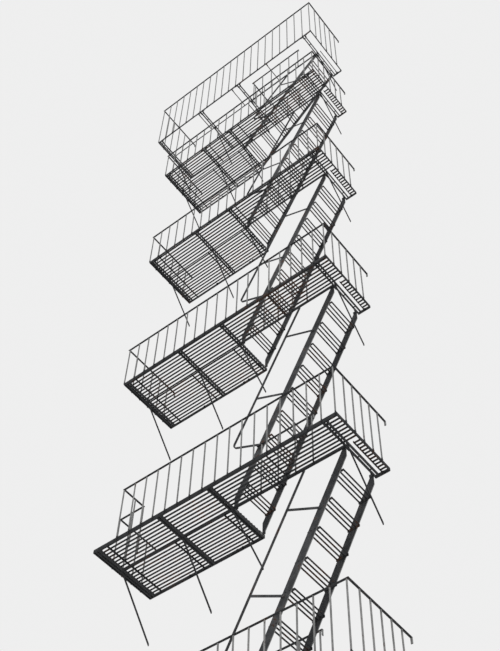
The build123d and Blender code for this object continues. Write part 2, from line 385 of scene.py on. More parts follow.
class FinishBook:
    """The finishes of the object: one for each material slot, and one for each platform's railing."""

    def __init__(self) -> None:
        """Mix the finishes of the slots."""
        finishes = (
            IronFinish("edge_iron", Weather.OPEN),
            IronFinish("bracket_iron", Weather.SHELTERED, painted_side_light=(0.060, 0.060, 0.061)),
            IronFinish("deck_iron", Weather.TRODDEN, dust_share=0.6),
            IronFinish("rail_iron", Weather.OPEN, paint=(0.030, 0.0305, 0.032),
                       chalked=(0.090, 0.091, 0.093), dust_share=0.25),
            IronFinish("stair_iron", Weather.OPEN, paint=(0.028, 0.0285, 0.030),
                       chalked=(0.075, 0.076, 0.078), painted_side_light=(0.280, 0.278, 0.270)),
            IronFinish("tread_iron", Weather.TRODDEN, dust_share=0.6),
        )
        self.by_slot = {finish.name: finish.material() for finish in finishes}
        self.railings: dict[str, bpy.types.Material] = {}

    def dress_frame(self) -> None:
        """Give each solid of the frame the finish of its slot."""
        for part in frame["record"]["subparts"]:
            node = frame["nodes"][part["node"]]
            finish = self.railing(part["node"]) or self.by_slot[part["material_slot"]]
            for held in node.material_slots:
                held.material = finish
            if not node.material_slots:
                node.data.materials.append(finish)
            log.info("dressed %s with %s", node.name, finish.name)

    def railing(self, node: str) -> Optional[bpy.types.Material]:
        """Give a platform's railing its own finish, with a painted highlight on its uprights.

        Args:
            node: A node of the frame.

        Returns:
            The finish, or nothing for a node that is no railing.
        """
        kind, floor = node.rsplit("_", 1)
        if kind not in ("long_rails", "ends", "corner_guard"):
            return None
        name = f"rail_iron_{floor}"
        if name not in self.railings:
            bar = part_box(f"frame_{floor}")[1].z
            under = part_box(f"ends_{floor}")[1].z - Ironwork.rail_thick
            finish = IronFinish(name, Weather.OPEN, dust_share=0.25, highlight_from=bar, highlight_to=under)
            self.railings[name] = finish.material()
        return self.railings[name]


# ---- Modelling ----


def clear_selection() -> None:
    """Deselect everything, so that the next operator acts on its own piece alone."""
    if bpy.context.object and bpy.context.object.mode != "OBJECT":
        bpy.ops.object.mode_set(mode="OBJECT")
    bpy.ops.object.select_all(action="DESELECT")


def choose(piece: bpy.types.Object) -> None:
    """Select one piece alone and make it the active one.

    Args:
        piece: The piece.
    """
    clear_selection()
    piece.select_set(True)
    bpy.context.view_layer.objects.active = piece


def settle(piece: bpy.types.Object) -> None:
    """Put a piece's place, turn and scale into its mesh."""
    choose(piece)
    bpy.ops.object.transform_apply(location=True, rotation=True, scale=True)


def soften(piece: bpy.types.Object, width: float) -> None:
    """Take off a piece's edges with one bevel step, and apply it.

    Args:
        piece: The piece.
        width: Width of the bevel.
    """
    choose(piece)
    bevel = piece.modifiers.new("edges", "BEVEL")
    bevel.width = width
    bevel.segments = 1
    bevel.limit_method = "ANGLE"
    bpy.ops.object.modifier_apply(modifier=bevel.name)


def pick_faces(piece: bpy.types.Object, wanted: Callable[[bpy.types.MeshPolygon], bool]) -> None:
    """Select the faces that a test accepts and go to edit mode.

    Args:
        piece: The active piece, in object mode.
        wanted: Test of one face.
    """
    bpy.ops.object.mode_set(mode="EDIT")
    bpy.ops.mesh.select_all(action="DESELECT")
    bpy.ops.mesh.select_mode(type="FACE")
    bpy.ops.object.mode_set(mode="OBJECT")
    for face in piece.data.polygons:
        face.select = bool(wanted(face))
    bpy.ops.object.mode_set(mode="EDIT")


def cut(piece: bpy.types.Object, point: Triple, across: Vector) -> None:
    """Divide a piece's faces where a plane crosses them.

    Args:
        piece: The piece.
        point: A point of the plane.
        across: The plane's normal.
    """
    choose(piece)
    bpy.ops.object.mode_set(mode="EDIT")
    bpy.ops.mesh.select_all(action="SELECT")
    bpy.ops.mesh.bisect(plane_co=point, plane_no=across)
    bpy.ops.object.mode_set(mode="OBJECT")


def raise_faces(height: float) -> None:
    """Extrude the selected faces straight up, or down where the height is negative."""
    bpy.ops.mesh.extrude_region_move(TRANSFORM_OT_translate={"value": (0, 0, height)})


def block(low: Vector, high: Vector) -> bpy.types.Object:
    """Start a piece as a plain block between two opposite corners.

    Args:
        low: Its lowest corner.
        high: Its highest corner.

    Returns:
        The block, selected and active.
    """
    clear_selection()
    bpy.ops.mesh.primitive_cube_add(size=1)
    made = bpy.context.object
    made.scale = high - low
    made.location = (high + low) / 2
    settle(made)
    return made


def flat_bar(low: Vector, high: Vector, edge: float = 0.0012) -> bpy.types.Object:
    """Model a straight bar between two opposite corners, with its edges taken off.

    Args:
        low: Its lowest corner.
        high: Its highest corner.
        edge: Width of the bevel.

    Returns:
        The bar.
    """
    bar = block(low, high)
    soften(bar, edge)
    return bar


def joined(pieces: list[bpy.types.Object], name: str) -> bpy.types.Object:
    """Join pieces into one.

    Args:
        pieces: The pieces, in object mode.
        name: Name of the joined piece.

    Returns:
        The joined piece.
    """
    choose(pieces[0])
    for piece in pieces[1:]:
        piece.select_set(True)
    if len(pieces) > 1:
        bpy.ops.object.join()
    pieces[0].name = pieces[0].data.name = name
    return pieces[0]


def stamp(pattern: bpy.types.Object, name: str, places: Iterable[Place]) -> bpy.types.Object:
    """Copy a pattern piece to many places and join the copies into one piece.

    Args:
        pattern: The piece to copy, standing at the origin.
        name: Name of the joined piece.
        places: Where each copy goes.

    Returns:
        The joined piece, with its places in its mesh.
    """
    copies = []
    for place in places:
        copy = pattern.copy()
        copy.data = pattern.data.copy()
        bpy.context.collection.objects.link(copy)
        copy.data.transform(place)
        copy.matrix_world = Matrix.Identity(4)
        copies.append(copy)
    return joined(copies, name)


def standing(x: float, y: float, z: float, along: Vector, spin: float = 0.0) -> Place:
    """Place a pattern at a point, its +Z turned to a direction.

    Args:
        x: Place along the wall.
        y: Place out from the wall.
        z: Height.
        along: Direction that the pattern's +Z takes.
        spin: Turn about that direction, in radians.

    Returns:
        The place as a matrix.
    """
    turn = along.to_track_quat("Z", "Y").to_matrix().to_4x4()
    return Matrix.Translation((x, y, z)) @ turn @ Matrix.Rotation(spin, 4, "Z")


def in_corner(x: float, y: float, z: float, leg_on_bar: Vector, away: Vector) -> Place:
    """Place an upright cleat in a corner.

    Args:
        x: Place along the wall.
        y: Place out from the wall.
        z: Height.
        leg_on_bar: Direction of the leg along the wall.
        away: Direction of the other leg, out from the face that the first one lies on.

    Returns:
        The place as a matrix.
    """
    turn = Matrix((leg_on_bar, away.cross(leg_on_bar), away)).transposed().to_4x4()
    return Matrix.Translation((x, y, z)) @ turn


def corners(node: str) -> list[Vector]:
    """Give the corner points of a node of the frame."""
    return [vertex.co.copy() for vertex in frame["nodes"][node].data.vertices]


def middles(values: Iterable[float], apart: float) -> list[float]:
    """Give the middle of each group of numbers.

    Args:
        values: The numbers.
        apart: Numbers nearer to each other than this are of one group.

    Returns:
        The middles, from low to high.
    """
    groups: list[list[float]] = []
    for value in sorted(values):
        if groups and value - groups[-1][-1] < apart:
            groups[-1].append(value)
        else:
            groups.append([value])
    return [(group[0] + group[-1]) / 2 for group in groups]


# ---- Ironwork ----


@dataclass
class Ironwork:
    """Sizes of the ironwork in metres: the frame's own, and the slender widths shown in their place.

    The slender ones are slat_shown, rail_width and tread_bar_width.
    """

    edge_thick: float = 0.010
    bracket_half: float = 0.023
    bracket_gap: float = 0.026
    bracket_depth: float = 0.040
    bar_drop: float = 0.035
    wall_strut_thick: float = 0.012
    slat_thick: float = 0.006
    slat_width: float = 0.030
    slat_shown: float = 0.022
    strip_width: float = 0.080
    tie_thick: float = 0.008
    tie_depth: float = 0.025
    wall_side_slats: int = 11
    walk_side_slats: int = 8
    well_line: float = 0.520
    well_bar: float = 0.010
    wall_bar: float = 0.010
    bar_size: float = 0.013
    rail_thick: float = 0.008
    rail_width: float = 0.022
    rail_height: float = 0.749
    tall_rail_height: float = 1.408
    wall_lug: float = 0.060
    hook_drop: float = 0.060
    wall_gap: float = 0.035
    stringer_thick: float = 0.010
    strut_thick: float = 0.008
    tread_depth: float = 0.145
    tread_bars: int = 4
    tread_bar_width: float = 0.016
    tread_bar_thick: float = 0.008
    tread_side: float = 0.006
    tread_side_depth: float = 0.030

    def slat_lines(self, outer: float, inner: float, count: int) -> list[float]:
        """Centre lines of slats that share the width between two bars."""
        gap = (outer - inner - count * self.slat_width) / (count + 1)
        return [-outer + gap + self.slat_width / 2 + n * (gap + self.slat_width) for n in range(count)]

    @property
    def well_outer(self) -> float:
        """Outer face of the deep bar beside the stair opening, out from the wall."""
        return self.well_line + self.well_bar / 2

    @property
    def guard_line(self) -> float:
        """Outer face of the inner guard's uprights, out from the wall."""
        return self.well_outer + self.bar_size

    @property
    def stair_inner(self) -> float:
        """Outer face of the outer stringer, out from the wall."""
        return self.well_line - self.well_bar / 2


@dataclass
class Fixings:
    """The pieces that come many times, each modelled once at the origin, standing along +Z."""

    iron: Ironwork

    # How finely the round pieces are made: segments and rings of a rivet, and sides of the others
    rivet_mesh: tuple[int, int] = (8, 6)
    washer_sides: int = 12
    bolt_sides: int = 6
    tube_sides: int = 8

    rivet_radius: float = 0.008
    rivet_height: float = 0.005
    bolt_radius: float = 0.014
    bolt_height: float = 0.010
    bolt_crown: float = 0.002
    bolt_taper: float = 0.82
    washer_radius: float = 0.020
    washer_thick: float = 0.003
    cleat_leg: float = 0.045
    cleat_thick: float = 0.007
    cleat_length: float = 0.038
    small_cleat_length: float = 0.0228
    cleat_edge: float = 0.0012
    tube_radius: float = 0.007
    tube_length: float = 0.026
    tube_collar: float = 0.004
    tube_flare: float = 1.3
    sole_length: float = 0.040
    sole_width: float = 0.026
    sole_thick: float = 0.004
    sole_edge: float = 0.001
    made: dict[str, bpy.types.Object] = field(default_factory=dict)

    def build(self) -> None:
        """Model every pattern."""
        self.made = {
            "rivet": self._rivet(), "bolt": self._bolt(), "cleat": self._cleat(self.cleat_length),
            "small_cleat": self._cleat(self.small_cleat_length), "tube": self._tube(), "sole": self._sole(),
            "tread": self._tread(), "upright": self._upright(self.iron.rail_height),
            "tall_upright": self._upright(self.iron.tall_rail_height),
        }
        for name, piece in self.made.items():
            piece.name = f"pattern_{name}"

    def _rivet(self) -> bpy.types.Object:
        """Model a low domed rivet head.

        Returns:
            The head.
        """
        around, rings = self.rivet_mesh
        flatness = self.rivet_height / self.rivet_radius
        clear_selection()
        bpy.ops.mesh.primitive_uv_sphere_add(segments=around, ring_count=rings, radius=self.rivet_radius)
        head = bpy.context.object
        bpy.ops.object.mode_set(mode="EDIT")
        bpy.ops.mesh.select_all(action="SELECT")
        bpy.ops.mesh.bisect(plane_co=(0, 0, 0), plane_no=UP, use_fill=True, clear_inner=True)
        bpy.ops.mesh.select_all(action="SELECT")
        bpy.ops.transform.resize(value=(1, 1, flatness), center_override=(0, 0, 0))
        bpy.ops.object.mode_set(mode="OBJECT")
        return head

    def _bolt(self) -> bpy.types.Object:
        """Model a hexagon bolt head on a round washer.

        Returns:
            The bolt.
        """
        washer = self._round(self.washer_sides, self.washer_radius, 0, self.washer_thick)
        head = self._round(self.bolt_sides, self.bolt_radius, self.washer_thick, self.bolt_height)
        pick_faces(head, lambda face: face.normal.z > SQUARE)
        raise_faces(self.bolt_crown)
        bpy.ops.transform.resize(value=(self.bolt_taper, self.bolt_taper, 1), center_override=(0, 0, 0))
        bpy.ops.object.mode_set(mode="OBJECT")
        return joined([washer, head], "bolt")

    @staticmethod
    def _round(sides: int, radius: float, foot: float, length: float) -> bpy.types.Object:
        """Start a piece as a plain cylinder that stands along +Z.

        Args:
            sides: Number of its sides.
            radius: Its radius.
            foot: Height of its lower end.
            length: Its length.

        Returns:
            The cylinder, selected and active.
        """
        clear_selection()
        bpy.ops.mesh.primitive_cylinder_add(vertices=sides, radius=radius, depth=length,
                                            location=(0, 0, foot + length / 2))
        made = bpy.context.object
        settle(made)
        return made

    def _tube(self) -> bpy.types.Object:
        """Model a distance tube that stands between a bracket's two bars, waisted by its raised ends.

        Returns:
            The tube.
        """
        tube = self._round(self.tube_sides, self.tube_radius, 0, self.tube_length)
        for height in (self.tube_collar, self.tube_length - self.tube_collar):
            cut(tube, (0, 0, height), UP)
        pick_faces(tube, lambda face: abs(face.normal.z) > SQUARE)
        bpy.ops.transform.resize(value=(self.tube_flare, self.tube_flare, 1), center_override=(0, 0, 0))
        bpy.ops.object.mode_set(mode="OBJECT")
        return tube

    def _sole(self) -> bpy.types.Object:
        """Model the flat foot of an upright that stands on a slat, with its edges taken off.

        Returns:
            The foot.
        """
        length, width = self.sole_length / 2, self.sole_width / 2
        plate = block(Vector((-length, -width, 0)), Vector((length, width, self.sole_thick)))
        pick_faces(plate, lambda face: face.normal.z > SQUARE)
        bpy.ops.mesh.inset(thickness=self.sole_thick, depth=self.sole_thick / 2)
        bpy.ops.object.mode_set(mode="OBJECT")
        soften(plate, self.sole_edge)
        return plate

    def _cleat(self, length: float) -> bpy.types.Object:
        """Model an angle cleat: one leg on the plane z = 0, the other standing along x = 0.

        Args:
            length: Its length.

        Returns:
            The cleat.
        """
        leg, thick = self.cleat_leg, self.cleat_thick
        angle = block(Vector((0, -length / 2, 0)), Vector((leg, length / 2, thick)))
        cut(angle, (thick, 0, 0), RIGHT)
        pick_faces(angle, lambda face: face.normal.z > SQUARE and face.center.x < thick)
        raise_faces(leg - thick)
        bpy.ops.object.mode_set(mode="OBJECT")
        soften(angle, self.cleat_edge)
        return angle

    def _upright(self, railing: float) -> bpy.types.Object:
        """Model a square upright, standing on its foot, with its edges taken off.

        Args:
            railing: Height of the rail's top over the edge bar's lower side.

        Returns:
            The upright.
        """
        half = self.iron.bar_size / 2
        height = railing - 2 * self.iron.rail_thick
        return flat_bar(Vector((-half, -half, 0)), Vector((half, half, height)))

    def _tread(self) -> bpy.types.Object:
        """Model an open tread: slender level bars between two side pieces, its top on the plane z = 0.

        Returns:
            The tread.
        """
        iron = self.iron
        half = iron.tread_depth / 2
        side_in = -(iron.wall_gap + iron.stringer_thick)
        side_out = -(iron.stair_inner - iron.stringer_thick)
        pitch = (iron.tread_depth - iron.tread_bar_width) / (iron.tread_bars - 1)
        pieces = []
        for number in range(iron.tread_bars):
            x = number * pitch - half
            pieces.append(flat_bar(Vector((x, side_out, -iron.tread_bar_thick)),
                                   Vector((x + iron.tread_bar_width, side_in, 0))))
        for low, high in ((side_out, side_out + iron.tread_side), (side_in - iron.tread_side, side_in)):
            pieces.append(flat_bar(Vector((-half, low, -iron.tread_side_depth)), Vector((half, high, 0))))
        return joined(pieces, "tread")

    def clear(self) -> None:
        """Remove the patterns once their copies are made."""
        for piece in self.made.values():
            bpy.data.objects.remove(piece)
        self.made.clear()


class Trade:
    """Joins copies of a fixing into one piece, dresses it and fastens it to the object."""

    def __init__(self, patterns: dict[str, bpy.types.Object], finishes: FinishBook) -> None:
        """Keep the patterns and the finishes.

        Args:
            patterns: Pattern pieces by name.
            finishes: The object's finishes.
        """
        self.patterns = patterns
        self.finishes = finishes

    def place(self, kind: str, name: str, places: list[Place], slot: str) -> Optional[bpy.types.Object]:
        """Put a fixing at many places.

        Args:
            kind: Name of the fixing's pattern.
            name: Name of the joined piece.
            places: Where each copy goes.
            slot: Slot that it takes its finish from.

        Returns:
            The joined piece, or nothing where there is no place.
        """
        if not places:
            return None
        piece = stamp(self.patterns[kind], name, places)
        self.fasten(piece, slot, self.finishes.by_slot[slot])
        return piece

    def fasten(self, piece: bpy.types.Object, slot: str, finish: bpy.types.Material) -> None:
        """Dress a piece and let it ride on the object.

        Args:
            piece: The piece.
            slot: Not used.
            finish: The finish itself.
        """
        piece.data.materials.clear()
        piece.data.materials.append(finish)
        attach(piece, "root")
        log.info("made %s: %d faces", piece.name, len(piece.data.polygons))


@dataclass
class Platform:
    """One platform's outline, and its small fixings."""

    floor: int
    iron: Ironwork
    trade: Trade

    # Heights over the edge bar's lower side between which the feet of uprights lie
    foot_span: Span = (0.005, 0.010)

    # Room that a cleat needs beside the left end bar
    cleat_room: float = 0.055

    # Places of two wall bolts along the wall, from the third bracket and from the second
    bolts_beside: Span = (-0.32, -0.26)

    # Places out from the wall of the pins and of the strut's bolt, and the bolt's height
    pin_lines: tuple[float, ...] = (-0.120, -0.330, -0.720, -0.860)
    strut_bolt_line: float = -0.527
    strut_bolt_rise: float = 0.010

    def __post_init__(self) -> None:
        """Read the platform's outline from the frame."""
        low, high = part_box(f"frame_{self.floor}")
        self.left, self.right = low.x, high.x
        self.low, self.high = low.z, high.z
        self.front = low.y
        self.inner = low.y + self.iron.edge_thick
        self.bare = f"deck_{self.floor}" not in frame["nodes"]
        self.rail_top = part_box(f"ends_{self.floor}")[1].z
        across = middles((point.x for point in corners(f"brackets_{self.floor}")), BAR_APART)
        self.brackets = across[::-1]
        self.rails = corners(f"long_rails_{self.floor}")
        self.ends = corners(f"ends_{self.floor}")
        self.turn_line = -self.iron.guard_line + 2 * self.iron.bar_size

    def build(self) -> None:
        """Add every fixing of the platform."""
        self._rail_pins()
        self._bar_rivets()
        self._wall_bolts()
        self._bracket_cleats()
        self._bracket_pins()
        if self.bare:
            self._cross_bar_cleats()
        else:
            self._deck_rivets()

    def _uprights(self, points: list[Vector], axis: int, on_line: Callable[[Vector], bool]) -> list[float]:
        """Give the middles of the uprights whose feet pass a test.

        Args:
            points: Corner points of the railings.
            axis: Axis along which the middles are wanted.
            on_line: Test of one corner of a foot.

        Returns:
            The middles, from low to high.
        """
        low, high = (self.low + height for height in self.foot_span)
        return middles((p[axis] for p in points if low < p.z < high and on_line(p)), UPRIGHT_APART)

    def front_uprights(self) -> list[float]:
        """Places of the front railing's uprights along the wall."""
        face = self.front - self.iron.bar_size
        return self._uprights(self.rails, 0, lambda p: abs(p.y - face) < TOUCHING)

    def guard_uprights(self) -> list[float]:
        """Places of the inner guard's uprights along the wall."""
        return self._uprights(self.rails, 0, lambda p: abs(p.y + self.iron.guard_line) < TOUCHING)

    def end_uprights(self, face: float) -> list[float]:
        """Places out from the wall of the uprights of the end railing with the given outer face."""
        return self._uprights(self.ends, 1, lambda p: abs(p.x - face) < TOUCHING)

    def turn_uprights(self) -> list[float]:
        """Places out from the wall of the uprights of the inner guard's turn back, on the bare platform."""
        return self._uprights(self.rails, 1, lambda p: self.bare and p.y > self.turn_line)

    def turn_back(self) -> float:
        """Line of the inner guard's turn back to the wall, along the wall."""
        across = [p.x for p in self.rails if p.y > self.turn_line]
        return (min(across) + max(across)) / 2 if across else 0.0

    def step_feet(self) -> list[Vector]:
        """Find the feet of the railing that steps inwards.

        Returns:
            The middles of the feet, or none where the platform has no such railing.
        """
        node = f"corner_guard_{self.floor}"
        if node not in frame["nodes"]:
            return []
        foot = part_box(node)[0].z
        feet = [p for p in corners(node) if p.z < foot + TOUCHING]
        places = []
        for y in middles((p.y for p in feet), UPRIGHT_APART):
            row = [p.x for p in feet if abs(p.y - y) < UPRIGHT_APART / 2]
            places += [Vector((x, y, foot)) for x in middles(row, UPRIGHT_APART)]
        return places

    def walk_slats(self) -> list[float]:
        """Centre lines of the walkway's slats."""
        return self.iron.slat_lines(-self.inner, self.iron.well_outer, self.iron.walk_side_slats)

    def wall_slats(self) -> list[float]:
        """Centre lines of the slats between the stair's line and the wall."""
        return self.iron.slat_lines(self.iron.stair_inner, self.iron.wall_bar, self.iron.wall_side_slats)

    def _rail_pins(self) -> None:
        """Riveted-over ends of the uprights on the flat rails, which are flush on the highest railing."""
        half = self.iron.bar_size / 2
        guard_top = self.low + self.iron.rail_height
        places = [standing(x, half - self.iron.guard_line, guard_top, UP) for x in self.guard_uprights()]
        if not self.bare:
            places += [standing(x, self.front - half, self.rail_top, UP) for x in self.front_uprights()]
            for end, side in ((self.left, -half), (self.right, half)):
                uprights = self.end_uprights(end + 2 * side)
                places += [standing(end + side, y, self.rail_top, UP) for y in uprights]
        self.trade.place("rivet", f"rail_pins_{self.floor}", places, "rail_iron")

    def _bar_rivets(self) -> None:
        """Rivets that hold the uprights on the edge bars."""
        size = self.iron.bar_size
        z = (self.low + self.high) / 2
        places = [standing(x, self.front - size, z, OUT) for x in self.front_uprights()]
        places += [standing(x, -self.iron.guard_line, z, OUT) for x in self.guard_uprights()]
        places += [standing(self.left - size, y, z, LEFT) for y in self.end_uprights(self.left - size)]
        places += [standing(self.right + size, y, z, RIGHT) for y in self.end_uprights(self.right + size)]
        self.trade.place("rivet", f"bar_rivets_{self.floor}", places, "rail_iron")

    def _wall_bolts(self) -> None:
        """Bolts through the wall bars: one in the right bar, three in the left one."""
        middle = (self.low + self.high) / 2
        first, second, third, _ = self.brackets
        from_third, from_second = self.bolts_beside
        across = [(first + self.right) / 2, (second + third) / 2, third + from_third, second + from_second]
        # The last x is a turn, so that no two heads stand alike
        places = [standing(x, -self.iron.wall_bar, middle, OUT, x) for x in across]
        self.trade.place("bolt", f"wall_bolts_{self.floor}", places, "edge_iron")

    def _bracket_cleats(self) -> None:
        """Angle cleats where the bracket bars meet the front edge bar."""
        half = self.iron.bracket_half
        level = self.low + self.iron.bracket_depth / 2
        cleats = [in_corner(x + side, self.inner, level, leg, IN)
                  for x in reversed(self.brackets) for side, leg in ((half, RIGHT), (-half, LEFT))
                  if self.left + self.cleat_room < x + side]
        self.trade.place("cleat", f"bracket_cleats_{self.floor}", cleats, "bracket_iron")

    def _bracket_pins(self) -> None:
        """Pins with distance tubes that tie each bracket's two bars, and the bolts of its strut."""
        iron = self.iron
        level, foot = self.low + iron.bracket_depth / 2, self.low + self.strut_bolt_rise
        heads, tubes = [], []
        for x in reversed(self.brackets):
            for y in self.pin_lines:
                tubes.append(standing(x - iron.bracket_gap / 2, y, level, RIGHT))
                heads.append(standing(x + iron.bracket_half, y, level, RIGHT))
                heads.append(standing(x - iron.bracket_half, y, level, LEFT))
            strut_face = x + iron.bracket_gap / 2 - iron.wall_strut_thick
            heads.append(standing(x + iron.bracket_half, self.strut_bolt_line, foot, RIGHT))
            heads.append(standing(strut_face, self.strut_bolt_line, foot, LEFT))
        self.trade.place("rivet", f"bracket_pins_{self.floor}", heads, "bracket_iron")
        self.trade.place("tube", f"bracket_tubes_{self.floor}", tubes, "bracket_iron")

    def _cross_bar_cleats(self) -> None:
        """Small cleats that hold the top platform's bare cross bars."""
        bars = corners(f"cross_bars_{self.floor}")
        walk = middles((p.x for p in bars if p.y < self.inner + TOUCHING), BAR_APART)
        wall = middles((p.x for p in bars if p.y > -self.iron.wall_bar - TOUCHING), BAR_APART)
        level = self.low + self.iron.bracket_depth - self.iron.tie_depth / 2
        half = self.iron.tie_thick / 2
        cleats = [in_corner(x + half, self.inner, level, RIGHT, IN) for x in walk]
        cleats += [in_corner(x - half, -self.iron.wall_bar, level, LEFT, OUT) for x in wall]
        self.trade.place("small_cleat", f"cross_bar_cleats_{self.floor}", cleats, "bracket_iron")

    def _deck_rivets(self) -> None:
        """Rivets of the slats on the brackets' bars."""
        iron = self.iron
        bed = self.low + iron.bracket_depth + iron.slat_thick
        bar = (iron.bracket_half + iron.bracket_gap / 2) / 2
        rivets = []
        for lines, slats in ((self.brackets, self.walk_slats()), (self.brackets[1:], self.wall_slats())):
            rivets += [standing(x + side, y, bed, UP) for x in lines for side in (-bar, bar) for y in slats]
        self.trade.place("rivet", f"deck_rivets_{self.floor}", rivets, "deck_iron")


@dataclass
class Deck:
    """One platform's deck, with slats as slender as the photo's in place of the frame's broader ones."""

    platform: Platform
    iron: Ironwork
    trade: Trade

    def __post_init__(self) -> None:
        """Find the bed that the slats lie on."""
        self.bed = self.platform.low + self.iron.bracket_depth

    def build(self) -> None:
        """Build the walkway, the landing, the short strip and their cross bars."""
        platform, iron = self.platform, self.iron
        left, right = platform.left + iron.edge_thick, platform.right - iron.edge_thick
        landing = platform.brackets[1] + iron.bracket_half
        pieces = self._slats(platform.walk_slats(), left, right)
        pieces += self._slats(platform.wall_slats(), left, landing)
        pieces += self._slats(platform.wall_slats(), right - iron.strip_width, right)
        pieces += self._cross_bars()
        deck = joined(pieces, f"slats_{platform.floor}")
        self.trade.fasten(deck, "deck_iron", self.trade.finishes.by_slot["deck_iron"])
        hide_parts(f"deck_{platform.floor}")

    def _slats(self, lines: list[float], left: float, right: float) -> list[bpy.types.Object]:
        """Model the slats on some lines between two ends.

        Args:
            lines: Centre lines of the slats, out from the wall.
            left: Their left end.
            right: Their right end.

        Returns:
            The slats.
        """
        half, top = self.iron.slat_shown / 2, self.bed + self.iron.slat_thick
        return [flat_bar(Vector((left, y - half, self.bed)), Vector((right, y + half, top))) for y in lines]

    def _cross_bars(self) -> list[bpy.types.Object]:
        """Model the bars that carry the slats between the brackets, where the frame has them.

        Returns:
            The bars.
        """
        iron, low = self.iron, self.bed - self.iron.tie_depth
        half = iron.tie_thick / 2
        feet = [p for p in corners(f"deck_{self.platform.floor}") if p.z < low + iron.tie_thick]
        bars = []
        for out, back in ((self.platform.inner, -iron.well_outer), (-iron.stair_inner, -iron.wall_bar)):
            row = [p.x for p in feet if out - TOUCHING < p.y < back + TOUCHING]
            for x in middles(row, BAR_APART):
                bars.append(flat_bar(Vector((x - half, out, low)), Vector((x + half, back, self.bed))))
        return bars


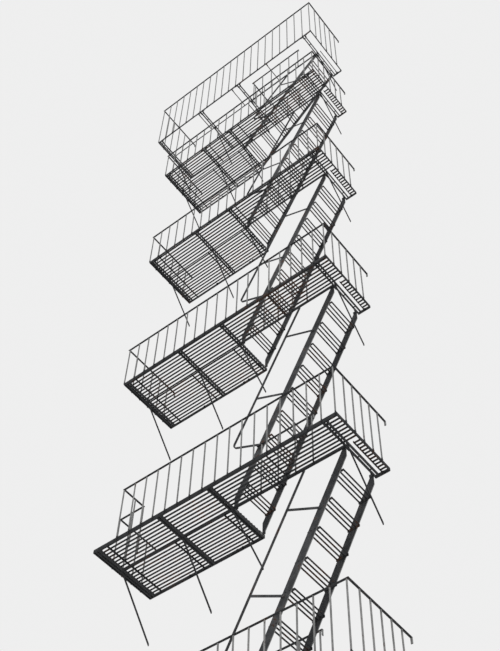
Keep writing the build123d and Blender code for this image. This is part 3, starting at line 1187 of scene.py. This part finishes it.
@dataclass
class Railings:
    """One platform's railings, with slender flat rails in place of the frame's broader ones."""

    platform: Platform
    iron: Ironwork
    trade: Trade

    # Lines out from the wall between which the inner guard lies, and the room under its top for its rail
    guard_span: Span = (-0.7, -0.4)
    guard_room: float = 0.02

    def __post_init__(self) -> None:
        """Work out the rails' lines from the platform's outline."""
        deck, half_bar = self.platform, self.iron.bar_size / 2
        self.half = self.iron.rail_width / 2
        self.top = deck.rail_top
        self.out = deck.front - half_bar
        self.sides = (deck.left - half_bar, deck.right + half_bar)
        self.guard_top = deck.low + self.iron.rail_height
        self.guard_line = half_bar - self.iron.guard_line
        self.steps = deck.step_feet()
        self.step_line = max((foot.y for foot in self.steps), default=0.0)

    def build(self) -> None:
        """Build the rails and uprights, and let them stand for the frame's railings."""
        deck = self.platform
        pieces = self._front() + self._ends() + self._guard() + self._uprights()
        nodes = [f"long_rails_{deck.floor}", f"ends_{deck.floor}"]
        if self.steps:
            pieces += self._step()
            nodes.append(f"corner_guard_{deck.floor}")
        railing = joined(pieces, f"railing_{deck.floor}")
        self.trade.fasten(railing, "rail_iron", self.trade.finishes.railing(nodes[0]))
        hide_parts(*nodes)
        bars = joined(self._end_bars(), f"end_bars_{deck.floor}")
        self.trade.fasten(bars, "rail_iron", self.trade.finishes.by_slot["edge_iron"])

    def _rail(self, across: Span, out: Span, top: float) -> bpy.types.Object:
        """Model one flat rail.

        Args:
            across: Its two ends or edges along the wall.
            out: Its two edges or ends out from the wall.
            top: Height of its top.

        Returns:
            The rail.
        """
        low = Vector((across[0], out[0], top - self.iron.rail_thick))
        return flat_bar(low, Vector((across[1], out[1], top)))

    def _round_line(self, line: float) -> Span:
        """Give the two edges of a rail by its centre line."""
        return line - self.half, line + self.half

    def _lug(self, x: float, top: float) -> bpy.types.Object:
        """Model the lug that a rail turns down on the wall.

        Args:
            x: The rail's centre line.
            top: Height of the rail's top.

        Returns:
            The lug.
        """
        thick = self.iron.rail_thick
        return flat_bar(Vector((x - self.half, -thick, top - thick - self.iron.wall_lug)),
                        Vector((x + self.half, 0, top - thick)))

    def _front(self) -> list[bpy.types.Object]:
        """Model the front rail.

        Returns:
            The rail, as the only piece of a list.
        """
        left = self.platform.front_uprights()[0] if self.steps else self.sides[0]
        across = (left - self.half, self.sides[1] + self.half)
        return [self._rail(across, self._round_line(self.out), self.top)]

    def _ends(self) -> list[bpy.types.Object]:
        """Model the two end rails and their lugs on the wall.

        Returns:
            The rails and lugs.
        """
        left_stop = self.step_line - self.half if self.steps else self.out + self.half
        pieces = []
        for x, stop in zip(self.sides, (left_stop, self.out + self.half)):
            pieces.append(self._rail(self._round_line(x), (stop, 0), self.top))
            pieces.append(self._lug(x, self.top))
        return pieces

    def _end_bars(self) -> list[bpy.types.Object]:
        """Model the edge bars under the end rails.

        Returns:
            The left bar and the right one.
        """
        deck, thick = self.platform, self.iron.edge_thick
        return [flat_bar(Vector((x, deck.inner, deck.low)), Vector((x + thick, 0, deck.high)))
                for x in (deck.left, deck.right - thick)]

    def _guard(self) -> list[bpy.types.Object]:
        """Model the inner guard's rail with its hook, and on the bare platform its turn to the wall.

        Returns:
            The rail, and on the bare platform its turn with a lug.
        """
        out, back = self.guard_span
        near = [p for p in self.platform.rails if p.y > out]
        low_x = min(p.x for p in near if p.z > self.guard_top - self.guard_room)
        high_x = max(p.x for p in near if p.y < back)
        thick, line = self.iron.rail_thick, self.guard_line
        rail = self._rail((low_x, high_x), self._round_line(line), self.guard_top)
        cut(rail, (high_x - thick, 0, 0), RIGHT)
        pick_faces(rail, lambda face: face.normal.z < -SQUARE and face.center.x > high_x - thick)
        raise_faces(thick / 2 - self.iron.hook_drop)
        bpy.ops.object.mode_set(mode="OBJECT")
        if not self.platform.bare:
            return [rail]
        x = self.platform.turn_back()
        turn = self._rail(self._round_line(x), (line + self.half, 0), self.guard_top)
        return [rail, turn, self._lug(x, self.guard_top)]

    def _uprights(self) -> list[bpy.types.Object]:
        """Stand the uprights of all railings on their feet.

        Returns:
            The uprights of the outer railings as one piece, and those of the inner guard.
        """
        deck, foot = self.platform, self.platform.low + self.iron.rail_thick
        size, patterns = self.iron.bar_size, self.trade.patterns
        outer = [(x, self.out) for x in deck.front_uprights()]
        for x, face in zip(self.sides, (deck.left - size, deck.right + size)):
            outer += [(x, y) for y in deck.end_uprights(face)]
        inner = [(x, self.guard_line) for x in deck.guard_uprights()]
        inner += [(deck.turn_back(), y) for y in deck.turn_uprights()]
        tall = patterns["tall_upright" if deck.bare else "upright"]
        return [stamp(tall, "outer_uprights", [Matrix.Translation((x, y, foot)) for x, y in outer]),
                stamp(patterns["upright"], "inner_uprights",
                      [Matrix.Translation((x, y, foot)) for x, y in inner])]

    def _step(self) -> list[bpy.types.Object]:
        """Model the rails and uprights that step inwards.

        Returns:
            The rails and uprights.
        """
        half, line, corner = self.half, self.step_line, self.platform.front_uprights()[0]
        size, under = self.iron.bar_size / 2, self.top - self.iron.rail_thick
        pieces = [self._rail(self._round_line(corner), (self.out + half, line + half), self.top),
                  self._rail((self.sides[0] + half, corner - half), self._round_line(line), self.top)]
        for foot in self.steps:
            pieces.append(flat_bar(Vector((foot.x - size, foot.y - size, foot.z)),
                                   Vector((foot.x + size, foot.y + size, under))))
        return pieces


@dataclass
class SteppedRail:
    """The fixings of the railing that steps inwards at one platform's left end."""

    platform: Platform
    trade: Trade

    def build(self) -> None:
        """Add the uprights' pins on top and their feet on the slat, where the platform has this railing."""
        deck, feet = self.platform, self.platform.step_feet()
        pins = [standing(foot.x, foot.y, deck.rail_top, UP) for foot in feet]
        soles = [standing(foot.x, foot.y, foot.z, UP) for foot in feet]
        self.trade.place("rivet", f"stepped_pins_{deck.floor}", pins, "rail_iron")
        self.trade.place("sole", f"stepped_soles_{deck.floor}", soles, "rail_iron")


@dataclass
class Flight:
    """One flight's treads and fixings."""

    number: int
    iron: Ironwork
    trade: Trade

    # Drops from the upper deck to the handrail's struts, on a full flight and on one of a shorter rise
    strut_drops: tuple[float, ...] = (0.660, 1.500)
    short_strut_drops: tuple[float, ...] = (0.528,)
    short_rise: float = 2.0

    # Places of the two rivets across a strut
    strut_rivets: Span = (0.006, 0.034)

    # A tread's rivets stand this far to each side of the stringer's line, which is read this high over
    # their own level
    tread_rivet_step: float = 0.022
    tread_rivet_rise: float = 0.016

    # Depth of the stringers' cleats under the level of the deck that they are fixed at
    cleat_drop: float = 0.015

    def __post_init__(self) -> None:
        """Read the flight's two ends from the frame."""
        self.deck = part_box(f"frame_{self.number + 1}")[0].z + self.iron.bar_drop
        self.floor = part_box(f"frame_{self.number}")[0].z + self.iron.bar_drop
        self.rise = self.deck - self.floor
        self.run = -middles((p.x for p in corners(f"brackets_{self.number}")), BAR_APART)[-2]
        self.tread_points = corners(f"treads_{self.number}")
        self.tread_levels = middles((point.z for point in self.tread_points), TREAD_APART)

    def build(self) -> None:
        """Add the flight's treads and fixings."""
        self._treads()
        self._tread_rivets()
        self._stringer_cleats()
        self._strut_rivets()

    def _treads(self) -> None:
        """Slender treads in place of the frame's broader bars."""
        node = f"treads_{self.number}"
        places = []
        for middle in self.tread_levels:
            across = [point.x for point in self.tread_points if abs(point.z - middle) < TREAD_APART]
            top = middle + self.iron.tread_side_depth / 2
            places.append(Matrix.Translation(((min(across) + max(across)) / 2, 0, top)))
        piece = self.trade.place("tread", f"open_treads_{self.number}", places, "tread_iron")
        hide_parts(node)

    def _tread_rivets(self) -> None:
        """Rivets of the treads on the stringers' faces."""
        places = []
        for middle in self.tread_levels:
            x = -self.run * (self.deck - middle - self.tread_rivet_rise) / self.rise
            for step in (-self.tread_rivet_step, self.tread_rivet_step):
                places.append(standing(x + step, -self.iron.stair_inner, middle, OUT))
                places.append(standing(x + step, -self.iron.wall_gap, middle, IN))
        self.trade.place("rivet", f"tread_rivets_{self.number}", places, "tread_iron")

    def _stringer_cleats(self) -> None:
        """Angle cleats that hold the stringers' ends on the brackets."""
        iron = self.iron
        half = iron.bracket_half
        inside_outer = -(iron.stair_inner - iron.stringer_thick)
        inside_inner = -(iron.wall_gap + iron.stringer_thick)
        places = []
        for x, level, leg in ((-half, self.deck, LEFT), (half - self.run, self.floor, RIGHT)):
            places.append(in_corner(x, inside_outer, level - self.cleat_drop, leg, IN))
            places.append(in_corner(x, inside_inner, level - self.cleat_drop, leg, OUT))
        self.trade.place("cleat", f"stringer_cleats_{self.number}", places, "stair_iron")

    def _strut_rivets(self) -> None:
        """Rivets of the handrail's struts on the outer stringer."""
        drops = self.short_strut_drops if self.rise < self.short_rise else self.strut_drops
        length = math.hypot(self.run, self.rise)
        places = []
        for drop in drops:
            for out in self.strut_rivets:
                x = -self.run * drop / self.rise - out * self.rise / length
                z = self.deck - drop + out * self.run / length
                places.append(standing(x, -self.iron.stair_inner - self.iron.strut_thick, z, OUT))
        self.trade.place("rivet", f"strut_rivets_{self.number}", places, "rail_iron")


# ---- Stage ----


@dataclass
class Viewpoint:
    """The camera's place, found from the platform corners in the photograph."""

    eye: Triple = (3.791, -6.592, -5.304)
    azimuth: float = -39.917
    elevation: float = 54.741
    roll: float = 2.066
    focal_pixels: float = 1098.107
    clip: Span = (0.1, 200.0)

    def build(self) -> None:
        """Make the camera and set it as the scene's."""
        az, el, ro = (math.radians(angle) for angle in (self.azimuth, self.elevation, self.roll))
        ahead = Vector((math.sin(az) * math.cos(el), math.cos(az) * math.cos(el), math.sin(el)))
        level = Vector((math.cos(az), -math.sin(az), 0))
        above = level.cross(ahead)
        right = level * math.cos(ro) + above * math.sin(ro)
        up = above * math.cos(ro) - level * math.sin(ro)
        data = bpy.data.cameras.new("camera")
        data.sensor_width = SENSOR_MM
        data.lens = self.focal_pixels / max(PICTURE_SIZE) * SENSOR_MM
        data.clip_start, data.clip_end = self.clip
        camera = bpy.data.objects.new("camera", data)
        bpy.context.collection.objects.link(camera)
        turn = Matrix((right, up, -ahead)).transposed().to_4x4()
        camera.matrix_world = Matrix.Translation(self.eye) @ turn
        bpy.context.scene.camera = camera


@dataclass(frozen=True)
class Lamp:
    """A far soft lamp: where it stands, how strong it is and how wide it looks, with angles in degrees.

    Its azimuth is counted from straight in front of the wall, to the right.
    """

    name: str
    azimuth: float
    elevation: float
    strength: float
    softness: float

    def build(self) -> None:
        """Hang the lamp so that it shines on the object."""
        data = bpy.data.lights.new(self.name, "SUN")
        data.energy = self.strength
        data.angle = math.radians(self.softness)
        lamp = bpy.data.objects.new(self.name, data)
        bpy.context.collection.objects.link(lamp)
        az, el = math.radians(self.azimuth), math.radians(self.elevation)
        source = Vector((math.sin(az) * math.cos(el), -math.cos(az) * math.cos(el), math.sin(el)))
        lamp.rotation_mode = "QUATERNION"
        lamp.rotation_quaternion = source.to_track_quat("Z", "Y")


@dataclass
class Studio:
    """Pale floor, pale surroundings and soft lamps."""

    floor_drop: float = 6.2
    floor_size: float = 260.0
    pale: Triple = (0.86, 0.86, 0.86)
    sky: Triple = (0.75, 0.77, 0.80)
    sky_strength: float = 0.45
    lamps: tuple[Lamp, ...] = (
        Lamp("key", 25.0, 55.0, 1.9, 25.0),
        Lamp("side", 70.0, 15.0, 0.8, 40.0),
        Lamp("low", -10.0, -45.0, 0.3, 60.0),
    )

    def build(self) -> None:
        """Set up the surroundings, the floor and the lamps."""
        bpy.context.scene.view_settings.view_transform = "Standard"
        self._world()
        self._floor()
        for lamp in self.lamps:
            lamp.build()

    def _world(self) -> None:
        """Light the object evenly and show a pale surround."""
        shop = NodeShop(bpy.data.worlds.new("surround"))
        bpy.context.scene.world = shop.owner
        path = shop.node("ShaderNodeLightPath")
        soft = shop.node("ShaderNodeBackground", {0: self.sky, 1: self.sky_strength})
        seen = shop.node("ShaderNodeBackground", {0: self.pale})
        mix = shop.node("ShaderNodeMixShader", {0: path.outputs["Is Camera Ray"], 1: soft.outputs[0],
                                                2: seen.outputs[0]})
        shop.node("ShaderNodeOutputWorld", {0: mix.outputs[0]})

    def _floor(self) -> None:
        """Lay the floor well below the lowest platform, where the ground would be."""
        clear_selection()
        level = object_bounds()[0].z - self.floor_drop
        bpy.ops.mesh.primitive_plane_add(size=self.floor_size, location=(0, 0, level))
        floor = bpy.context.object
        floor.name = "floor"
        shop = NodeShop(bpy.data.materials.new("floor"))
        geometry = shop.node("ShaderNodeNewGeometry")
        matt = shop.node("ShaderNodeBsdfDiffuse", {"Color": self.pale})
        clear = shop.node("ShaderNodeBsdfTransparent")
        mix = shop.node("ShaderNodeMixShader", {0: geometry.outputs["Backfacing"], 1: matt.outputs[0],
                                                2: clear.outputs[0]})
        shop.node("ShaderNodeOutputMaterial", {"Surface": mix.outputs[0]})
        floor.data.materials.append(shop.owner)
        floor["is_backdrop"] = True


def main() -> None:
    """Set the camera, dress the frame, add the ironwork, then lay the floor and hang the lamps."""
    clear_selection()
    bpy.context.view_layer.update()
    Viewpoint().build()
    finishes = FinishBook()
    finishes.dress_frame()
    iron = Ironwork()
    fixings = Fixings(iron)
    fixings.build()
    trade = Trade(fixings.made, finishes)
    for floor in range(FLOORS):
        platform = Platform(floor, iron, trade)
        platform.build()
        Railings(platform, iron, trade).build()
        if not platform.bare:
            Deck(platform, iron, trade).build()
        SteppedRail(platform, trade).build()
    for number in range(FLOORS - 1):
        Flight(number, iron, trade).build()
    fixings.clear()
    Studio().build()


if __name__ == "__main__":
    main()
